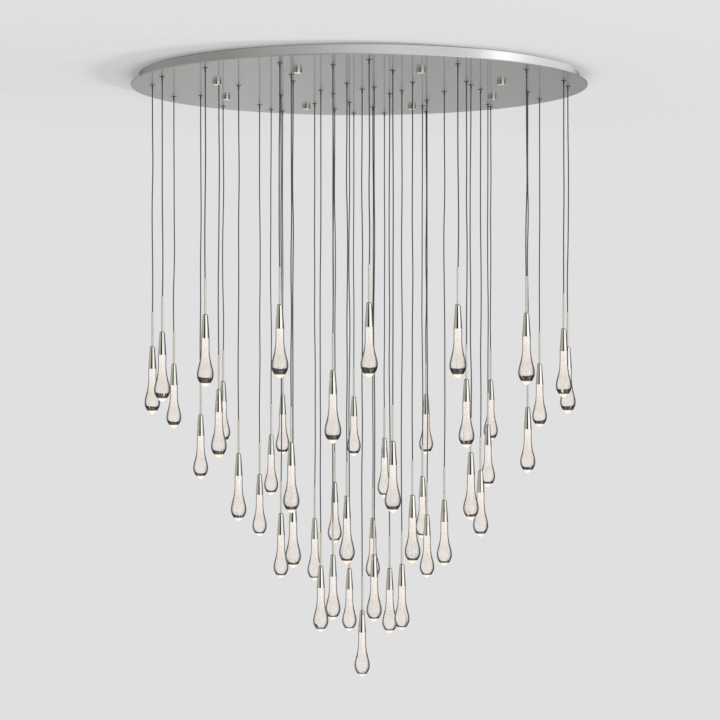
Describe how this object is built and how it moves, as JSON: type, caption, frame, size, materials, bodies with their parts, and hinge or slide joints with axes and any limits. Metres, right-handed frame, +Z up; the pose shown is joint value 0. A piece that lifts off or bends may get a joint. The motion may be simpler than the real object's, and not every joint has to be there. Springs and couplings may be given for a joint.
{
  "type": "chandelier",
  "caption": "Round mirror-polished ceiling canopy from which solid crystal drops hang on thin cords in a tapering cascade, each lit by a lamp in its slim metal cup.",
  "frame": {"origin": "centre of the ceiling face of the mounting frame, on the canopy's axis", "axes": "+Z up into the ceiling, the drops hang towards -Z, -Y is the front and +X is a front viewer's right"},
  "size_m": [1.5238, 1.5238, 2.015],
  "materials": {
    "polished_steel": "mirror polished stainless steel",
    "polished_nickel": "polished nickel plate on brass",
    "zinc_steel": "zinc plated steel",
    "driver_case": "fine matt moulding",
    "black_plastic": "matt moulding",
    "cord": "smooth grey sheath",
    "crystal": "polished clear crystal with fine seeds in the neck"
  },
  "bodies": {
    "canopy": {"ceiling_frame": "zinc_steel", "hanger_studs": "zinc_steel", "cap_nuts": "polished_nickel", "canopy_rim": "polished_steel", "rim_fixings": "zinc_steel", "face_plate": "polished_steel", "cord_grips": "polished_nickel", "grip_nuts": "zinc_steel", "led_drivers": "driver_case", "driver_screws": "zinc_steel", "junction_box": "driver_case", "supply_bush": "black_plastic", "wiring": "cord"},
    "drop_01": {"pendant_01": "crystal"},
    "drop_02": {"pendant_02": "crystal"},
    "drop_03": {"pendant_03": "crystal"},
    "drop_04": {"pendant_04": "crystal"},
    "drop_05": {"pendant_05": "crystal"},
    "drop_06": {"pendant_06": "crystal"},
    "drop_07": {"pendant_07": "crystal"},
    "drop_08": {"pendant_08": "crystal"},
    "drop_09": {"pendant_09": "crystal"},
    "drop_10": {"pendant_10": "crystal"},
    "drop_11": {"pendant_11": "crystal"},
    "drop_12": {"pendant_12": "crystal"},
    "drop_13": {"pendant_13": "crystal"},
    "drop_14": {"pendant_14": "crystal"},
    "drop_15": {"pendant_15": "crystal"},
    "drop_16": {"pendant_16": "crystal"},
    "drop_17": {"pendant_17": "crystal"},
    "drop_18": {"pendant_18": "crystal"},
    "drop_19": {"pendant_19": "crystal"},
    "drop_20": {"pendant_20": "crystal"},
    "drop_21": {"pendant_21": "crystal"},
    "drop_22": {"pendant_22": "crystal"},
    "drop_23": {"pendant_23": "crystal"},
    "drop_24": {"pendant_24": "crystal"},
    "drop_25": {"pendant_25": "crystal"},
    "drop_26": {"pendant_26": "crystal"},
    "drop_27": {"pendant_27": "crystal"},
    "drop_28": {"pendant_28": "crystal"},
    "drop_29": {"pendant_29": "crystal"},
    "drop_30": {"pendant_30": "crystal"},
    "drop_31": {"pendant_31": "crystal"},
    "drop_32": {"pendant_32": "crystal"},
    "drop_33": {"pendant_33": "crystal"},
    "drop_34": {"pendant_34": "crystal"},
    "drop_35": {"pendant_35": "crystal"},
    "drop_36": {"pendant_36": "crystal"},
    "drop_37": {"pendant_37": "crystal"},
    "drop_38": {"pendant_38": "crystal"},
    "drop_39": {"pendant_39": "crystal"},
    "drop_40": {"pendant_40": "crystal"},
    "drop_41": {"pendant_41": "crystal"},
    "drop_42": {"pendant_42": "crystal"},
    "drop_43": {"pendant_43": "crystal"},
    "drop_44": {"pendant_44": "crystal"},
    "drop_45": {"pendant_45": "crystal"},
    "drop_46": {"pendant_46": "crystal"},
    "drop_47": {"pendant_47": "crystal"}
  },
  "joints": [
    {"name": "drop_01_swing", "type": "hinge", "parent": "canopy", "child": "drop_01", "pos_m": [-0.68483, -0.08498, -0.05], "axis": [0, 1, 0], "range_deg": [-6, 6]},
    {"name": "drop_02_swing", "type": "hinge", "parent": "canopy", "child": "drop_02", "pos_m": [-0.62984, -0.28493, -0.05], "axis": [0, 1, 0], "range_deg": [-6, 6]},
    {"name": "drop_03_swing", "type": "hinge", "parent": "canopy", "child": "drop_03", "pos_m": [-0.64484, 0.20995, -0.05], "axis": [0, 1, 0], "range_deg": [-2, 2]},
    {"name": "drop_04_swing", "type": "hinge", "parent": "canopy", "child": "drop_04", "pos_m": [-0.47488, -0.47988, -0.05], "axis": [0, 1, 0], "range_deg": [-6, 6]},
    {"name": "drop_05_swing", "type": "hinge", "parent": "canopy", "child": "drop_05", "pos_m": [-0.54986, 0.18995, -0.05], "axis": [0, 1, 0], "range_deg": [-2, 2]},
    {"name": "drop_06_swing", "type": "hinge", "parent": "canopy", "child": "drop_06", "pos_m": [-0.45989, -0.14496, -0.05], "axis": [0, 1, 0], "range_deg": [-6, 6]},
    {"name": "drop_07_swing", "type": "hinge", "parent": "canopy", "child": "drop_07", "pos_m": [-0.49488, 0.48488, -0.05], "axis": [0, 1, 0], "range_deg": [-6, 6]},
    {"name": "drop_08_swing", "type": "hinge", "parent": "canopy", "child": "drop_08", "pos_m": [-0.3999, -0.07498, -0.05], "axis": [0, 1, 0], "range_deg": [-6, 6]},
    {"name": "drop_09_swing", "type": "hinge", "parent": "canopy", "child": "drop_09", "pos_m": [-0.35991, 0.44489, -0.05], "axis": [0, 1, 0], "range_deg": [-6, 6]},
    {"name": "drop_10_swing", "type": "hinge", "parent": "canopy", "child": "drop_10", "pos_m": [-0.32492, 0.57986, -0.05], "axis": [0, 1, 0], "range_deg": [-6, 6]},
    {"name": "drop_11_swing", "type": "hinge", "parent": "canopy", "child": "drop_11", "pos_m": [-0.23994, -0.58486, -0.05], "axis": [0, 1, 0], "range_deg": [-6, 6]},
    {"name": "drop_12_swing", "type": "hinge", "parent": "canopy", "child": "drop_12", "pos_m": [-0.28493, 0.63484, -0.05], "axis": [0, 1, 0], "range_deg": [-6, 6]},
    {"name": "drop_13_swing", "type": "hinge", "parent": "canopy", "child": "drop_13", "pos_m": [-0.21495, -0.33492, -0.05], "axis": [0, 1, 0], "range_deg": [-6, 6]},
    {"name": "drop_14_swing", "type": "hinge", "parent": "canopy", "child": "drop_14", "pos_m": [-0.26993, 0.16496, -0.05], "axis": [0, 1, 0], "range_deg": [-4.5, 4.5]},
    {"name": "drop_15_swing", "type": "hinge", "parent": "canopy", "child": "drop_15", "pos_m": [-0.21495, -0.18495, -0.05], "axis": [0, 1, 0], "range_deg": [-5, 5]},
    {"name": "drop_16_swing", "type": "hinge", "parent": "canopy", "child": "drop_16", "pos_m": [-0.15996, 0.4099, -0.05], "axis": [0, 1, 0], "range_deg": [-3, 3]},
    {"name": "drop_17_swing", "type": "hinge", "parent": "canopy", "child": "drop_17", "pos_m": [-0.07998, -0.54487, -0.05], "axis": [0, 1, 0], "range_deg": [-6, 6]},
    {"name": "drop_18_swing", "type": "hinge", "parent": "canopy", "child": "drop_18", "pos_m": [-0.08998, 0.56486, -0.05], "axis": [0, 1, 0], "range_deg": [-6, 6]},
    {"name": "drop_19_swing", "type": "hinge", "parent": "canopy", "child": "drop_19", "pos_m": [-0.03999, -0.12997, -0.05], "axis": [0, 1, 0], "range_deg": [-5, 5]},
    {"name": "drop_20_swing", "type": "hinge", "parent": "canopy", "child": "drop_20", "pos_m": [-0.01999, 0.69483, -0.05], "axis": [0, 1, 0], "range_deg": [-2.5, 2.5]},
    {"name": "drop_21_swing", "type": "hinge", "parent": "canopy", "child": "drop_21", "pos_m": [-0.12997, 0.04999, -0.05], "axis": [0, 1, 0], "range_deg": [-3, 3]},
    {"name": "drop_22_swing", "type": "hinge", "parent": "canopy", "child": "drop_22", "pos_m": [-0.08998, 0.13997, -0.05], "axis": [0, 1, 0], "range_deg": [-4, 4]},
    {"name": "drop_23_swing", "type": "hinge", "parent": "canopy", "child": "drop_23", "pos_m": [-0.03499, 0.37491, -0.05], "axis": [0, 1, 0], "range_deg": [-3, 3]},
    {"name": "drop_24_swing", "type": "hinge", "parent": "canopy", "child": "drop_24", "pos_m": [0.01, 0.015, -0.05], "axis": [0, 1, 0], "range_deg": [-3, 3]},
    {"name": "drop_25_swing", "type": "hinge", "parent": "canopy", "child": "drop_25", "pos_m": [0.02999, -0.65484, -0.05], "axis": [0, 1, 0], "range_deg": [-6, 6]},
    {"name": "drop_26_swing", "type": "hinge", "parent": "canopy", "child": "drop_26", "pos_m": [0.04999, 0.50987, -0.05], "axis": [0, 1, 0], "range_deg": [-5, 5]},
    {"name": "drop_27_swing", "type": "hinge", "parent": "canopy", "child": "drop_27", "pos_m": [0.04999, -0.03999, -0.05], "axis": [0, 1, 0], "range_deg": [-6, 6]},
    {"name": "drop_28_swing", "type": "hinge", "parent": "canopy", "child": "drop_28", "pos_m": [0.10497, 0.13497, -0.05], "axis": [0, 1, 0], "range_deg": [-4, 4]},
    {"name": "drop_29_swing", "type": "hinge", "parent": "canopy", "child": "drop_29", "pos_m": [0.14496, 0.05499, -0.05], "axis": [0, 1, 0], "range_deg": [-3, 3]},
    {"name": "drop_30_swing", "type": "hinge", "parent": "canopy", "child": "drop_30", "pos_m": [0.09498, 0.68983, -0.05], "axis": [0, 1, 0], "range_deg": [-2.5, 2.5]},
    {"name": "drop_31_swing", "type": "hinge", "parent": "canopy", "child": "drop_31", "pos_m": [0.10497, -0.4249, -0.05], "axis": [0, 1, 0], "range_deg": [-6, 6]},
    {"name": "drop_32_swing", "type": "hinge", "parent": "canopy", "child": "drop_32", "pos_m": [0.17496, -0.15496, -0.05], "axis": [0, 1, 0], "range_deg": [-5.5, 5.5]},
    {"name": "drop_33_swing", "type": "hinge", "parent": "canopy", "child": "drop_33", "pos_m": [0.24994, 0.64984, -0.05], "axis": [0, 1, 0], "range_deg": [-5.5, 5.5]},
    {"name": "drop_34_swing", "type": "hinge", "parent": "canopy", "child": "drop_34", "pos_m": [0.22994, 0.47488, -0.05], "axis": [0, 1, 0], "range_deg": [-5, 5]},
    {"name": "drop_35_swing", "type": "hinge", "parent": "canopy", "child": "drop_35", "pos_m": [0.23994, 0.30992, -0.05], "axis": [0, 1, 0], "range_deg": [-6, 6]},
    {"name": "drop_36_swing", "type": "hinge", "parent": "canopy", "child": "drop_36", "pos_m": [0.28993, 0.07498, -0.05], "axis": [0, 1, 0], "range_deg": [-3.5, 3.5]},
    {"name": "drop_37_swing", "type": "hinge", "parent": "canopy", "child": "drop_37", "pos_m": [0.29993, -0.56486, -0.05], "axis": [0, 1, 0], "range_deg": [-6, 6]},
    {"name": "drop_38_swing", "type": "hinge", "parent": "canopy", "child": "drop_38", "pos_m": [0.34991, -0.17496, -0.05], "axis": [0, 1, 0], "range_deg": [-6, 6]},
    {"name": "drop_39_swing", "type": "hinge", "parent": "canopy", "child": "drop_39", "pos_m": [0.36991, -0.08998, -0.05], "axis": [0, 1, 0], "range_deg": [-6, 6]},
    {"name": "drop_40_swing", "type": "hinge", "parent": "canopy", "child": "drop_40", "pos_m": [0.4099, 0.02499, -0.05], "axis": [0, 1, 0], "range_deg": [-6, 6]},
    {"name": "drop_41_swing", "type": "hinge", "parent": "canopy", "child": "drop_41", "pos_m": [0.47988, 0.49988, -0.05], "axis": [0, 1, 0], "range_deg": [-6, 6]},
    {"name": "drop_42_swing", "type": "hinge", "parent": "canopy", "child": "drop_42", "pos_m": [0.46488, 0.43489, -0.05], "axis": [0, 1, 0], "range_deg": [-6, 6]},
    {"name": "drop_43_swing", "type": "hinge", "parent": "canopy", "child": "drop_43", "pos_m": [0.51987, -0.44489, -0.05], "axis": [0, 1, 0], "range_deg": [-6, 6]},
    {"name": "drop_44_swing", "type": "hinge", "parent": "canopy", "child": "drop_44", "pos_m": [0.57486, 0.08498, -0.05], "axis": [0, 1, 0], "range_deg": [-6, 6]},
    {"name": "drop_45_swing", "type": "hinge", "parent": "canopy", "child": "drop_45", "pos_m": [0.63484, 0.27493, -0.05], "axis": [0, 1, 0], "range_deg": [-6, 6]},
    {"name": "drop_46_swing", "type": "hinge", "parent": "canopy", "child": "drop_46", "pos_m": [0.66483, -0.19495, -0.05], "axis": [0, 1, 0], "range_deg": [-6, 6]},
    {"name": "drop_47_swing", "type": "hinge", "parent": "canopy", "child": "drop_47", "pos_m": [0.69483, -0.05499, -0.05], "axis": [0, 1, 0], "range_deg": [-6, 6]}
  ]
}
